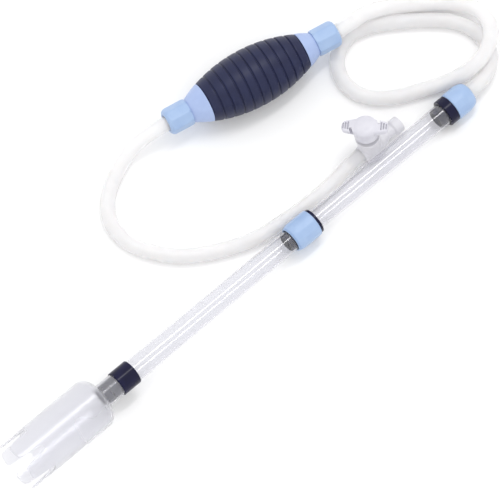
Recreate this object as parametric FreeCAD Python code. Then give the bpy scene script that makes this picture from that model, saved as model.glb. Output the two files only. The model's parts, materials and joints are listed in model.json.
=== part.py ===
import FreeCAD, Part

import math
import os

# Gravel vacuum siphon: a clear wand with a fingered bell, a squeeze bulb with two check valves,
# two lengths of soft hose and a quarter-turn tap. Millimetres, +Z up. Everything lies on the plane
# z = 0, the wand runs along +X, and the origin is on that plane under the middle of the rigid parts.

V = FreeCAD.Vector
X_AXIS = V(1, 0, 0)
Z_AXIS = V(0, 0, 1)

# --- driving dimensions ---------------------------------------------------------------------------

# where the three assemblies lie
TIP_X = -313.7             # the bell's finger tips
WAND_Y = -82.5             # the wand's axis
BULB_X = 54.9              # the outlet nut's outer end, on the bulb's axis
BULB_Y = 97.3
BULB_TURN = -12.08         # degrees about Z
TAP_X = 198.0              # where the tap's waterway meets its stem
TAP_Y = -58.5
TAP_Z = 12.8
TAP_LEAN = -12.0           # degrees about X, away from the wand
HANDLE_TURN = -48.0        # degrees about the stem; 0 is fully open, -90 shut

# hose
HOSE_R = 8.0
BARB_R = 6.1
BARB_BORE_R = 4.6
ARC_SHARE = 0.45           # share of the shorter run that an arc takes up

# screwed fittings
THREAD_PITCH = 2.0
THREAD_DEPTH = 0.6
RUNNING = 0.05             # radial running clearance
NUT_SLACK = 0.15           # radial clearance of a nut over its thread
HOSE_SLACK = 0.7           # radial clearance of a nut's mouth round its hose
SOCKET_WIDTH = 1.2         # radial width of the gap that a hose end pushes into

# bell, stations measured along the wand from the finger tips
BELL_R = 28.0
BELL_WALL = 1.8
BELL_SHOULDER = 104.0
NECK_START = 116.5
NECK_END = 137.0
NECK_R = 12.7
NECK_BORE_R = 10.9
FINGERS = 6
SLOT_DEPTH = 28.5
SLOT_TIP_HALF = 5.6
SLOT_ROOT_R = 3.0
FINGER_ROUND = 3.5         # how far each finger's corners are rounded back
FINGER_ROUND_LENGTH = 4.5
SLOT_ROLL = 18.0           # degrees about the wand, from straight up

# bell collar and strainer
COLLAR_R = 13.8
COLLAR_END = 159.0
SPIGOT_R = NECK_BORE_R - RUNNING
COLLAR_BORE_R = 9.2
STRAINER_THICK = 1.8
STRAINER_HOLE_R = 1.3

# tubes: moulded with a draft, so each has two end radii
LOWER_START, LOWER_START_R = 148.0, 12.9
LOWER_END, LOWER_END_R = 398.0, 11.5
UPPER_START, UPPER_START_R = 402.0, 10.75
UPPER_END, UPPER_END_R = 600.0, 12.15
TUBE_WALL = 1.45

# middle coupling
COUPLING_MOUTH = 379.0
COUPLING_RING = 409.3
COUPLING_RING_END = 412.5
COUPLING_NUT_R = 15.5
COUPLING_THREAD_R = 13.2
COUPLING_RING_R = 14.2

# top adaptor and its nut
TOP_COLLAR = 592.0
TOP_COLLAR_END = 602.0
TOP_COLLAR_R = 15.0
TOP_NUT_R = 15.5
TOP_THREAD_R = 12.6
WAND_END = 628.0

# bulb, stations measured along its axis from the outlet nut's outer end
BULB_LENGTH = 203.6
BULB_R = 31.4
BULB_ARC_R = 158.0
BULB_MIDDLE = 101.0
RUBBER_START = 46.0
RUBBER_END = 162.0
RUBBER_WALL = 3.2
RIBS = 11
GROOVE_DEPTH = 0.9
GROOVE_HALF = 0.7
CAP_LAP = 6.0              # how far each cap's spigot reaches into the rubber
CAP_CAVITY_R = 14.2
BULB_THREAD_R = 11.9
BULB_NUT_LENGTH = 26.5
BULB_NUT_FLATS = 8
BULB_NUT_FLAT_R = 13.7
VALVE_TRAVEL = 2.5
SEAT_THICK = 2.5
SEAT_PORTS = 6
SEAT_PORT_R = 2.6
SEAT_PORT_CIRCLE_R = 7.0
GUIDE_R = 1.6
DISC_R = 10.6
OUTLET_SEAT = 39.0
INLET_SEAT = 34.0          # from the inlet end
FERRULE_R = 11.2
FERRULE_START = 6.2
FERRULE_END = 11.6

# tap, measured from the crossing of the waterway and the stem
BARREL_R = 12.0
BARREL_BOTTOM = -11.0
BARREL_TOP = 16.0
CHAMBER_BOTTOM = -8.5
INLET_TIP = -28.0
HOSE_STOP = -12.5
PIPE_R = 9.4
BONNET_R = 13.0
BONNET_TOP = 22.0
PLUG_R = 8.2
STEM_R = 4.5
STEM_TOP = 43.0
SEAL_HEIGHTS = (-6.6, 9.0)
SEAL_GROOVE = 1.4
SPOUT_LENGTH = 41.0
SPOUT_R = 8.7
SPOUT_NECK_R = 6.5
HANDLE_BOTTOM = 28.5
HANDLE_TOP = 46.0
HANDLE_R = 13.2
NOTCH_TURN = 30.0          # degrees from a wing's middle to its notch
WING_REACH = 25.0

# the wand leans from the bell's shoulder down to the top nut's outer edge
NUT_REST = 622.0
WAND_TILT = math.degrees(math.atan2(BELL_R - TOP_NUT_R, NUT_REST - BELL_SHOULDER))

# hose routes: corner points of the straight runs that tangent arcs join
WAND_HOSE = [
    (291, -82.5, 15.91), (321, -82.5, 15.18), (345, -79, 12), (364, -63, 8), (370, -39, 8),
    (361, -13, 8), (340, 8, 8), (316, 27, 8), (292, 44, 8), (265, 52, 8), (239, 41, 8), (226, 15, 8),
    (232, -13, 8), (255, -33, 8), (283, -46, 8), (309, -58, 9), (334, -68, 24), (361, -63, 30),
    (382, -43, 24), (385, -16, 15), (368, 8, 9), (344, 27, 8), (320, 44, 14), (292, 53, 26),
    (262, 53, 31.4), (232.5, 59.3, 31.4),
]
TAP_HOSE = [
    (76.4, 92.7, 31.4), (47, 99, 31.4), (17, 106, 20), (-12, 99, 9), (-39, 85, 8), (-57, 62, 8),
    (-59, 33, 8), (-46, 6, 8), (-25, -19, 8), (6, -38, 8), (40, -53, 8), (75, -58, 8), (110, -61, 8),
    (142, -61.5, 10), (167, -58.5, 12.8), (185.5, -58.5, 12.8),
]


# --- tools for turned and threaded shapes ---------------------------------------------------------

def turned(outline):
    """Solid turned about X from (along, radius) points; a pair of points is an arc's middle and end."""
    edges = []
    first = last = V(outline[0][0], 0, outline[0][1])
    for step in outline[1:]:
        if isinstance(step[0], tuple):
            middle, end = (V(along, 0, radius) for along, radius in step)
            edges.append(Part.Arc(last, middle, end).toShape())
        else:
            end = V(step[0], 0, step[1])
            edges.append(Part.LineSegment(last, end).toShape())
        last = end
    edges.append(Part.LineSegment(last, first).toShape())
    return Part.Face(Part.Wire(edges)).revolve(V(0, 0, 0), X_AXIS, 360)


def ridges(start, end, crest):
    """Outline points of thread ridges between two stations, for a turned solid."""
    points = []
    count = int(abs(end - start) // THREAD_PITCH)
    step = math.copysign(THREAD_PITCH, end - start)
    root = crest - THREAD_DEPTH
    for turn in range(count):
        base = start + turn * step
        points += [(base + 0.25 * step, root), (base + 0.45 * step, crest)]
        points += [(base + 0.75 * step, crest), (base + 0.95 * step, root)]
    return points


def barbs(tip, root):
    """Outline points of a hose barb from its tip to its root."""
    step = (root - tip) / 4.0
    points = [(tip, BARB_R - 0.8)]
    for ring in range(3):
        crest = tip + (ring + 0.8) * step
        points += [(crest, BARB_R + 0.35), (crest + 0.2 * step, BARB_R - 0.15)]
    return points + [(root, BARB_R - 0.15)]


def bored(shape, radius, start, end):
    """The shape with a round hole along X between two stations."""
    return shape.cut(Part.makeCylinder(radius, end - start, V(start, 0, 0), X_AXIS))


def seal(station, radius, section_r):
    """Sealing ring round the X axis."""
    return Part.makeTorus(radius, section_r, V(station, 0, 0), X_AXIS)


def placement(origin, *turns):
    """Turns about the origin, the first one first, and then a move; a turn is (axis, degrees)."""
    place = FreeCAD.Placement()
    for axis, degrees in turns:
        place = FreeCAD.Placement(V(0, 0, 0), FreeCAD.Rotation(axis, degrees)).multiply(place)
    return FreeCAD.Placement(origin, FreeCAD.Rotation()).multiply(place)


def placed(shape, place):
    """A copy of the shape moved to its place."""
    moved = shape.copy()
    moved.transformShape(place.toMatrix())
    return moved


def tube_radius(station):
    """Outer radius of the clear tube at a station of the wand."""
    if station < (LOWER_END + UPPER_START) / 2:
        share = (station - LOWER_START) / (LOWER_END - LOWER_START)
        return LOWER_START_R + share * (LOWER_END_R - LOWER_START_R)
    share = (station - UPPER_START) / (UPPER_END - UPPER_START)
    return UPPER_START_R + share * (UPPER_END_R - UPPER_START_R)


# --- wand -----------------------------------------------------------------------------------------

def bell_slot():
    """One slot between two fingers: flared at the tips, tapering to a round end."""
    flare = SLOT_TIP_HALF + FINGER_ROUND
    root = SLOT_DEPTH - SLOT_ROOT_R
    bulge = V(FINGER_ROUND_LENGTH / 4, SLOT_TIP_HALF + FINGER_ROUND / 5, 0)
    half = [
        V(-1, flare, 0), V(0, flare, 0), V(FINGER_ROUND_LENGTH, SLOT_TIP_HALF, 0), V(root, SLOT_ROOT_R, 0),
    ]
    other = [V(point.x, -point.y, 0) for point in half]
    edges = [
        Part.LineSegment(other[0], half[0]).toShape(),
        Part.LineSegment(half[0], half[1]).toShape(),
        Part.Arc(half[1], bulge, half[2]).toShape(),
        Part.LineSegment(half[2], half[3]).toShape(),
        Part.Arc(half[3], V(SLOT_DEPTH, 0, 0), other[3]).toShape(),
        Part.LineSegment(other[3], other[2]).toShape(),
        Part.Arc(other[2], V(bulge.x, -bulge.y, 0), other[1]).toShape(),
        Part.LineSegment(other[1], other[0]).toShape(),
    ]
    return Part.Face(Part.Wire(edges)).extrude(V(0, 0, BELL_R + 1))


def bell_head():
    """Clear bell with six fingers, a rounded shoulder and a neck that pushes over the spigot."""
    inner = BELL_R - BELL_WALL
    tip = BELL_WALL / 2
    shell = turned([
        (tip, BELL_R), (BELL_SHOULDER, BELL_R), ((110.2, 25.4), (112.6, 20.2)), (NECK_START, NECK_R),
        (NECK_END, NECK_R), (NECK_END, NECK_BORE_R), (115.2, NECK_BORE_R), (110.9, 19.6),
        ((108.9, 23.9), (BELL_SHOULDER, inner)), (tip, inner), ((0, BELL_R - tip), (tip, BELL_R - 0.001)),
    ])
    for finger in range(FINGERS):
        slot = placed(bell_slot(), placement(V(0, 0, 0), (X_AXIS, SLOT_ROLL + finger * 360.0 / FINGERS)))
        shell = shell.cut(slot)
    return shell


def bell_strainer():
    """Perforated disc that plugs into the spigot's mouth and keeps gravel out of the tubes."""
    face = NECK_START + 0.7
    back = face + STRAINER_THICK
    disc = turned([
        (face, 0), (face, SPIGOT_R - 0.6), (face + 0.6, SPIGOT_R), (back, SPIGOT_R),
        (back, COLLAR_BORE_R - RUNNING), (back + 4, COLLAR_BORE_R - RUNNING), (back + 4, 8.0),
        (back, 8.0), (back, 0),
    ])
    for count, radius in ((1, 0.0), (6, 3.4), (12, 6.4)):
        for hole in range(count):
            angle = math.radians(hole * 360.0 / count)
            start = V(face - 1, radius * math.cos(angle), radius * math.sin(angle))
            disc = disc.cut(Part.makeCylinder(STRAINER_HOLE_R, STRAINER_THICK + 2, start, X_AXIS))
    return disc


def bell_collar():
    """Black collar: a grooved spigot for the bell's neck, and a socket for the tube."""
    start = NECK_START + 0.7 + STRAINER_THICK
    groove = 125.4
    socket = LOWER_START_R + RUNNING
    flange = NECK_END + 0.2
    return turned([
        (start, COLLAR_BORE_R), (start, SPIGOT_R), (groove, SPIGOT_R), (groove, SPIGOT_R - 0.95),
        (groove + 1.2, SPIGOT_R - 0.95), (groove + 1.2, SPIGOT_R), (flange, SPIGOT_R),
        (flange, COLLAR_R - 0.5), (flange + 0.5, COLLAR_R),
        (COLLAR_END - 0.5, COLLAR_R), (COLLAR_END, COLLAR_R - 0.3),
        (COLLAR_END, socket), (LOWER_START - 0.2, socket), (LOWER_START - 0.2, COLLAR_BORE_R),
    ])


def clear_tube(start, start_r, end, end_r):
    """Clear tube with a drafted bore of even wall."""
    return turned([
        (start, start_r - TUBE_WALL), (start, start_r), (end, end_r), (end, end_r - TUBE_WALL),
    ])


def coupling_body():
    """Black connector: a spigot inside the lower tube, a threaded sleeve outside it, a socket above."""
    bore = 8.4
    spigot = tube_radius(LOWER_END) - TUBE_WALL - 0.1
    sleeve = tube_radius(388.0) + 0.15
    socket = tube_radius(COUPLING_RING_END) + 0.1
    root = COUPLING_THREAD_R - THREAD_DEPTH
    return turned(
        [(373.0, bore), (373.0, spigot - 0.4), (374.0, spigot), (398.2, spigot)]
        + [(398.2, sleeve), (388.0, sleeve), (388.0, root)] + ridges(388.5, 406.5, COUPLING_THREAD_R)
        + [(COUPLING_RING, root), (COUPLING_RING, COUPLING_RING_R), (COUPLING_RING_END, COUPLING_RING_R)]
        + [(COUPLING_RING_END, socket), (406.6, socket), (406.6, socket + 0.8), (405.4, socket + 0.8)]
        + [(405.4, socket), (401.8, socket), (401.8, bore)]
    )


def coupling_gland():
    """Clamp ring that the nut's cone squeezes onto the lower tube."""
    bore = tube_radius(376.0) + RUNNING
    return turned([(383.0, bore), (383.0, 12.5), (387.7, 13.1), (387.7, bore)])


def coupling_nut():
    """Barrel nut with a domed mouth and shallow grip flats."""
    bore = COUPLING_THREAD_R + NUT_SLACK
    end = COUPLING_RING - 0.2
    nut = turned([
        (COUPLING_MOUTH, 12.1), (COUPLING_MOUTH, 13.0), ((382.6, 14.8), (387.5, COUPLING_NUT_R)),
        (end - 0.8, COUPLING_NUT_R), (end, COUPLING_NUT_R - 0.8), (end, bore),
        (387.9, bore), (383.0, 12.8),
        (382.0, 12.1),
    ])
    return grip_flats(nut, 388.0, end, 12, COUPLING_NUT_R - 0.35)


def top_adaptor():
    """Black adaptor: spigot and skirt for the upper tube's end, thread for the nut, barb for the hose."""
    bore = 8.4
    spigot = tube_radius(582.0) - TUBE_WALL - 0.05
    skirt = UPPER_END_R + RUNNING
    annulus = HOSE_R + SOCKET_WIDTH
    return turned(
        [(582.0, bore), (582.0, spigot - 0.4), (583.0, spigot), (600.2, spigot), (600.2, skirt)]
        + [(TOP_COLLAR, skirt), (TOP_COLLAR, TOP_COLLAR_R - 0.5), (TOP_COLLAR + 0.5, TOP_COLLAR_R)]
        + [(TOP_COLLAR_END, TOP_COLLAR_R), (TOP_COLLAR_END, TOP_THREAD_R - THREAD_DEPTH)]
        + ridges(602.4, 612.4, TOP_THREAD_R)
        + [(613.0, TOP_THREAD_R - THREAD_DEPTH), (613.0, annulus), (604.5, annulus)]
        + list(reversed(barbs(623.0, 604.5)))
        + [(623.0, BARB_BORE_R), (602.0, BARB_BORE_R), (598.0, bore)]
    )


def hose_ferrule():
    """Tapered clamp ring that a nut squeezes onto a hose end."""
    bore = HOSE_R + 2 * RUNNING
    return turned([
        (FERRULE_START, bore), (FERRULE_START, FERRULE_R - 1.0),
        (FERRULE_END, FERRULE_R), (FERRULE_END, bore),
    ])


def grip_flats(nut, start, end, count, flat_r):
    """The nut with shallow flats between two stations, for the fingers to grip."""
    for flat in range(count):
        block = Part.makeBox(end - start + 1, 2 * flat_r, flat_r, V(start, -flat_r, flat_r))
        nut = nut.cut(placed(block, placement(V(0, 0, 0), (X_AXIS, (flat + 0.5) * 360.0 / count))))
    return nut


def top_nut():
    """Domed nut that holds the hose on the adaptor; drawn from its hose end, then turned round."""
    bore = TOP_THREAD_R + NUT_SLACK
    nut = turned([
        (0, HOSE_R + HOSE_SLACK), (0, 10.4), ((4.6, 14.0), (13.0, TOP_NUT_R)), (24.8, TOP_NUT_R),
        (25.6, TOP_NUT_R - 0.8), (25.6, bore), (15.0, bore), (12.0, 11.8), (6.0, 10.2),
        (5.0, HOSE_R + HOSE_SLACK),
    ])
    return grip_flats(nut, 13.0, 25.6, 12, TOP_NUT_R - 0.35)


# --- bulb -----------------------------------------------------------------------------------------

def rubber_radius(station):
    """Outer radius of the bulb's arched profile."""
    drop = BULB_ARC_R - math.sqrt(BULB_ARC_R ** 2 - (station - BULB_MIDDLE) ** 2)
    return BULB_R - drop


def bulb_rubber():
    """Ribbed rubber bulb: an arched shell, open at both ends, with a groove between every two ribs."""
    middle = (RUBBER_START + RUBBER_END) / 2
    pitch = (RUBBER_END - RUBBER_START) / RIBS
    outline = [(RUBBER_START, rubber_radius(RUBBER_START))]
    station = RUBBER_START
    for rib in range(1, RIBS):
        groove = RUBBER_START + rib * pitch
        before, after = groove - GROOVE_HALF, groove + GROOVE_HALF
        crown = (station + before) / 2
        outline.append(((crown, rubber_radius(crown)), (before, rubber_radius(before))))
        outline.append(((groove, rubber_radius(groove) - GROOVE_DEPTH), (after, rubber_radius(after))))
        station = after
    crown = (station + RUBBER_END) / 2
    outline.append(((crown, rubber_radius(crown)), (RUBBER_END, rubber_radius(RUBBER_END))))
    outline.append((RUBBER_END, rubber_radius(RUBBER_END) - RUBBER_WALL))
    start_in = rubber_radius(RUBBER_START) - RUBBER_WALL
    outline.append(((middle, rubber_radius(middle) - RUBBER_WALL), (RUBBER_START, start_in)))
    return turned(outline)


def bulb_cap(end, joint_r, middle):
    """Cap of the bulb, drawn from its nut's outer end: barb, threaded sleeve, dome and spigot."""
    annulus = HOSE_R + SOCKET_WIDTH
    neck = BULB_THREAD_R - THREAD_DEPTH
    spigot = joint_r - RUBBER_WALL - 0.15
    return turned(
        barbs(4.0, 22.5) + [(22.5, annulus), (13.0, annulus), (13.0, neck)]
        + ridges(13.3, 23.5, BULB_THREAD_R)
        + [(26.8, neck), (26.8, 12.9), (middle, (end, joint_r)), (end, spigot), (end + CAP_LAP, spigot)]
        + [(end + CAP_LAP, CAP_CAVITY_R), (33.0, CAP_CAVITY_R), (29.6, 11.2), (29.6, BARB_BORE_R)]
        + [(4.0, BARB_BORE_R)]
    )


def bulb_nut():
    """Eight-sided nut with a rounded hose end, drawn from that end."""
    bore = BULB_THREAD_R + NUT_SLACK
    corner_r = BULB_NUT_FLAT_R / math.cos(math.pi / BULB_NUT_FLATS)
    nut = turned([
        (0, HOSE_R + HOSE_SLACK), (0, 10.6), ((2.2, 13.2), (6.5, corner_r)),
        (BULB_NUT_LENGTH - 1.0, corner_r), (BULB_NUT_LENGTH, corner_r - 0.9),
        (BULB_NUT_LENGTH, bore), (13.0, bore), (11.8, 11.5), (6.0, 10.2),
        (5.0, HOSE_R + HOSE_SLACK),
    ])
    turns = [(2 * side + 1) * math.pi / BULB_NUT_FLATS for side in range(BULB_NUT_FLATS)]
    corners = [V(0, corner_r * math.cos(turn), corner_r * math.sin(turn)) for turn in turns]
    prism = Part.Face(Part.makePolygon(corners + corners[:1])).extrude(V(BULB_NUT_LENGTH, 0, 0))
    return nut.common(prism)


def valve_seat(start):
    """Seat disc with six ports and a guide hole, pressed into a cap."""
    seat = Part.makeCylinder(CAP_CAVITY_R - RUNNING, SEAT_THICK, V(start, 0, 0), X_AXIS)
    seat = bored(seat, GUIDE_R, start - 1, start + SEAT_THICK + 1)
    for port in range(SEAT_PORTS):
        angle = 2 * math.pi * port / SEAT_PORTS
        centre = V(start - 1, SEAT_PORT_CIRCLE_R * math.cos(angle), SEAT_PORT_CIRCLE_R * math.sin(angle))
        seat = seat.cut(Part.makeCylinder(SEAT_PORT_R, SEAT_THICK + 2, centre, X_AXIS))
    return seat


def valve_disc(seat_start, side):
    """Rubber disc on one side of its seat, with a stem through the guide hole and a head behind."""
    face = seat_start if side < 0 else seat_start + SEAT_THICK
    stem_end = face - side * (SEAT_THICK + VALVE_TRAVEL + 0.6)
    disc = along(DISC_R, face + RUNNING * side, face + 1.45 * side)
    stem = along(GUIDE_R - RUNNING, face + 0.7 * side, stem_end)
    head = along(1.5 * GUIDE_R, stem_end, stem_end - side)
    return disc.fuse([stem, head]).removeSplitter()


def along(radius, start, end):
    """Round bar on the X axis between two stations, given in either order."""
    low, high = min(start, end), max(start, end)
    return Part.makeCylinder(radius, high - low, V(low, 0, 0), X_AXIS)


# --- tap ------------------------------------------------------------------------------------------

def round_edges(shape, height):
    """The round edges of an upright shape at one height."""
    return [
        edge for edge in shape.Edges
        if abs(edge.CenterOfMass.z - height) < 0.1 and edge.Length > PIPE_R
    ]


def tap_body():
    """Stopcock body: upright barrel, barbed inlet with a stop collar, and a round outlet spout."""
    barrel = Part.makeCylinder(BARREL_R, BARREL_TOP - BARREL_BOTTOM, V(0, 0, BARREL_BOTTOM), Z_AXIS)
    barrel = barrel.makeFillet(2.5, round_edges(barrel, BARREL_BOTTOM))
    inlet = turned(
        [(INLET_TIP, 0)] + barbs(INLET_TIP, HOSE_STOP)
        + [(HOSE_STOP, PIPE_R - 0.8), (HOSE_STOP + 3, PIPE_R), (0, PIPE_R), (0, 0)]
    )
    spout = turned([
        (0, 0), (0, PIPE_R), (10.5, PIPE_R), (21.0, SPOUT_NECK_R), (30.0, SPOUT_NECK_R),
        (31.5, SPOUT_R - 0.6), (32.1, SPOUT_R),
        (SPOUT_LENGTH - 1.0, SPOUT_R), (SPOUT_LENGTH, SPOUT_R - 1.0), (SPOUT_LENGTH, 0),
    ])
    body = barrel.fuse([inlet, spout])
    chamber = Part.makeCylinder(PLUG_R, BARREL_TOP - CHAMBER_BOTTOM + 1, V(0, 0, CHAMBER_BOTTOM), Z_AXIS)
    waterway = Part.makeCylinder(BARB_BORE_R, SPOUT_LENGTH - INLET_TIP + 2, V(INLET_TIP - 1, 0, 0), X_AXIS)
    return body.cut([chamber, waterway]).removeSplitter()


def tap_bonnet():
    """Cap on the barrel that keeps the plug in and flares out under the handle."""
    flare = Part.makeCone(BARREL_R, BONNET_R, 3.0, V(0, 0, BARREL_TOP), Z_AXIS)
    rim = Part.makeCylinder(BONNET_R, BONNET_TOP - BARREL_TOP - 3, V(0, 0, BARREL_TOP + 3), Z_AXIS)
    plug = Part.makeCylinder(PLUG_R - RUNNING, 2.5, V(0, 0, BARREL_TOP - 2.5), Z_AXIS)
    hole = Part.makeCylinder(STEM_R + RUNNING, 12, V(0, 0, BARREL_TOP - 4), Z_AXIS)
    return flare.fuse([rim, plug]).cut(hole).removeSplitter()


def tap_plug():
    """Plug with a cross bore, two seal grooves and the stem that carries the handle."""
    top = BARREL_TOP - 2.6
    bottom = CHAMBER_BOTTOM + 0.1
    plug = Part.makeCylinder(PLUG_R - RUNNING, top - bottom, V(0, 0, bottom), Z_AXIS)
    stem = Part.makeCylinder(STEM_R, STEM_TOP - top, V(0, 0, top), Z_AXIS)
    plug = plug.fuse(stem)
    for height in SEAL_HEIGHTS:
        ring = Part.makeCylinder(PLUG_R + 1, SEAL_GROOVE, V(0, 0, height - SEAL_GROOVE / 2), Z_AXIS)
        core = Part.makeCylinder(PLUG_R - 1.1, SEAL_GROOVE, V(0, 0, height - SEAL_GROOVE / 2), Z_AXIS)
        plug = plug.cut(ring.cut(core))
    return bored(plug, BARB_BORE_R - 0.1, -PLUG_R - 1, PLUG_R + 1).removeSplitter()


def tap_seals():
    """The plug's two sealing rings."""
    rings = [Part.makeTorus(PLUG_R - 0.56, 0.5, V(0, 0, height), Z_AXIS) for height in SEAL_HEIGHTS]
    return Part.makeCompound(rings)


def tap_handle():
    """Butterfly handle: a tall boss and two wings, each with a notch at its root and ribs on top."""
    boss = Part.makeCylinder(HANDLE_R, HANDLE_TOP - HANDLE_BOTTOM, V(0, 0, HANDLE_BOTTOM), Z_AXIS)
    boss = boss.makeFillet(2.0, round_edges(boss, HANDLE_TOP))
    handle = boss
    for side in (-1, 1):
        outline = Part.makePolygon([
            V(0, -9.0, 0), V(side * 12, -9.0, 0), V(side * 19, -7.0, 0), V(side * WING_REACH, -4.5, 0),
            V(side * WING_REACH, 4.5, 0), V(side * 19, 7.0, 0), V(side * 12, 9.0, 0), V(0, 9.0, 0),
            V(0, -9.0, 0),
        ])
        wing = Part.Face(outline).extrude(V(0, 0, 8.0))
        wing.translate(V(0, 0, HANDLE_TOP - 9.5))
        notch = Part.makeBox(2.4, 9.0, 7.0, V(side * 15.0 - 1.2, -4.5, HANDLE_TOP - 6.5))
        notch.rotate(V(0, 0, 0), Z_AXIS, NOTCH_TURN)
        handle = handle.fuse(wing).cut(notch)
        for rib in range(3):
            bar = Part.makeBox(1.4, 9.0, 1.4, V(side * (17.6 + 2.6 * rib) - 0.7, -4.5, HANDLE_TOP - 2.0))
            handle = handle.fuse(bar)
    below = V(0, 0, HANDLE_BOTTOM - 1)
    socket = Part.makeCylinder(STEM_R + 0.02, STEM_TOP - HANDLE_BOTTOM + 1, below, Z_AXIS)
    hollow = Part.makeCylinder(HANDLE_R - 2.2, 6.0, below, Z_AXIS)
    hub = Part.makeCylinder(STEM_R + 2.2, 7.0, below, Z_AXIS)
    return handle.cut(hollow.cut(hub)).cut(socket).removeSplitter()


# --- hoses ----------------------------------------------------------------------------------------

def hose(name, corners):
    """Solid hose along straight runs joined by tangent arcs; prints its radii and its length."""
    points = [V(*corner) for corner in corners]
    edges = []
    radii = []
    start = points[0]
    for before, corner, after in zip(points, points[1:], points[2:]):
        back = (before - corner)
        ahead = (after - corner)
        reach = ARC_SHARE * min(back.Length, ahead.Length)
        back.normalize()
        ahead.normalize()
        turn = math.pi - back.getAngle(ahead)
        radius = reach / math.tan(turn / 2)
        bisector = back + ahead
        bisector.normalize()
        inner = corner + bisector * (radius / math.cos(turn / 2) - radius)
        arc_start = corner + back * reach
        arc_end = corner + ahead * reach
        edges.append(Part.LineSegment(start, arc_start).toShape())
        edges.append(Part.Arc(arc_start, inner, arc_end).toShape())
        start = arc_end
        radii.append(round(radius, 1))
    edges.append(Part.LineSegment(start, points[-1]).toShape())
    path = Part.Wire(edges)
    section = Part.Wire(Part.makeCircle(HOSE_R, points[0], points[1] - points[0]))
    tube = path.makePipeShell([section], True, False)
    expected = math.pi * HOSE_R ** 2 * path.Length
    print(name, "length", round(path.Length, 1), "volume / expected", round(tube.Volume / expected, 5))
    print("radii", radii)
    return tube


# --- assembly -------------------------------------------------------------------------------------

TIP_Z = BELL_R * math.cos(math.radians(WAND_TILT)) + BELL_SHOULDER * math.sin(math.radians(WAND_TILT))
WAND = placement(V(TIP_X, WAND_Y, TIP_Z), (V(0, 1, 0), WAND_TILT))
OUTLET_END = placement(V(BULB_X, BULB_Y, BULB_R), (Z_AXIS, BULB_TURN))
INLET_END = OUTLET_END.multiply(placement(V(BULB_LENGTH, 0, 0), (Z_AXIS, 180)))
TOP_END = WAND.multiply(placement(V(WAND_END, 0, 0), (Z_AXIS, 180)))
TAP = placement(V(TAP_X, TAP_Y, TAP_Z), (X_AXIS, TAP_LEAN))
TAP_STEM = TAP.multiply(placement(V(0, 0, 0), (Z_AXIS, HANDLE_TURN)))

INLET_CAP_END = BULB_LENGTH - RUBBER_END

nodes = {
    "bell_head": placed(bell_head(), WAND),
    "bell_strainer": placed(bell_strainer(), WAND),
    "bell_collar": placed(bell_collar(), WAND),
    "bell_seal": placed(seal(126.0, SPIGOT_R - 0.48, 0.46), WAND),
    "lower_tube": placed(clear_tube(LOWER_START, LOWER_START_R, LOWER_END, LOWER_END_R), WAND),
    "coupling_body": placed(coupling_body(), WAND),
    "coupling_seal": placed(seal(406.0, tube_radius(COUPLING_RING_END) + 0.46, 0.42), WAND),
    "coupling_gland": placed(coupling_gland(), WAND),
    "coupling_nut": placed(coupling_nut(), WAND),
    "upper_tube": placed(clear_tube(UPPER_START, UPPER_START_R, UPPER_END, UPPER_END_R), WAND),
    "top_adaptor": placed(top_adaptor(), WAND),
    "top_ferrule": placed(hose_ferrule(), TOP_END),
    "top_nut": placed(top_nut(), TOP_END),
    "hose_wand_to_bulb": hose("hose_wand_to_bulb", WAND_HOSE),
    "bulb_rubber": placed(bulb_rubber(), OUTLET_END),
    "outlet_cap": placed(bulb_cap(RUBBER_START, rubber_radius(RUBBER_START), (37.9, 18.3)), OUTLET_END),
    "outlet_valve_seat": placed(valve_seat(OUTLET_SEAT), OUTLET_END),
    "outlet_valve_disc": placed(valve_disc(OUTLET_SEAT, -1), OUTLET_END),
    "outlet_ferrule": placed(hose_ferrule(), OUTLET_END),
    "outlet_nut": placed(bulb_nut(), OUTLET_END),
    "inlet_cap": placed(bulb_cap(INLET_CAP_END, rubber_radius(RUBBER_END), (35.4, 17.1)), INLET_END),
    "inlet_valve_seat": placed(valve_seat(INLET_SEAT), INLET_END),
    "inlet_valve_disc": placed(valve_disc(INLET_SEAT, 1), INLET_END),
    "inlet_ferrule": placed(hose_ferrule(), INLET_END),
    "inlet_nut": placed(bulb_nut(), INLET_END),
    "hose_bulb_to_tap": hose("hose_bulb_to_tap", TAP_HOSE),
    "tap_body": placed(tap_body(), TAP),
    "tap_bonnet": placed(tap_bonnet(), TAP),
    "tap_plug": placed(tap_plug(), TAP_STEM),
    "tap_seals": placed(tap_seals(), TAP_STEM),
    "tap_handle": placed(tap_handle(), TAP_STEM),
}

os.makedirs("parts", exist_ok=True)
for name, shape in nodes.items():
    shape.exportStep(os.path.join("parts", name + ".step"))

box = FreeCAD.BoundBox()
for name, shape in nodes.items():
    if not name.startswith("hose"):
        box.add(shape.BoundBox)
print("rigid parts", box)
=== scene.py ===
import json
import math

import bpy
import numpy as np
from mathutils import Matrix, Vector


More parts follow.
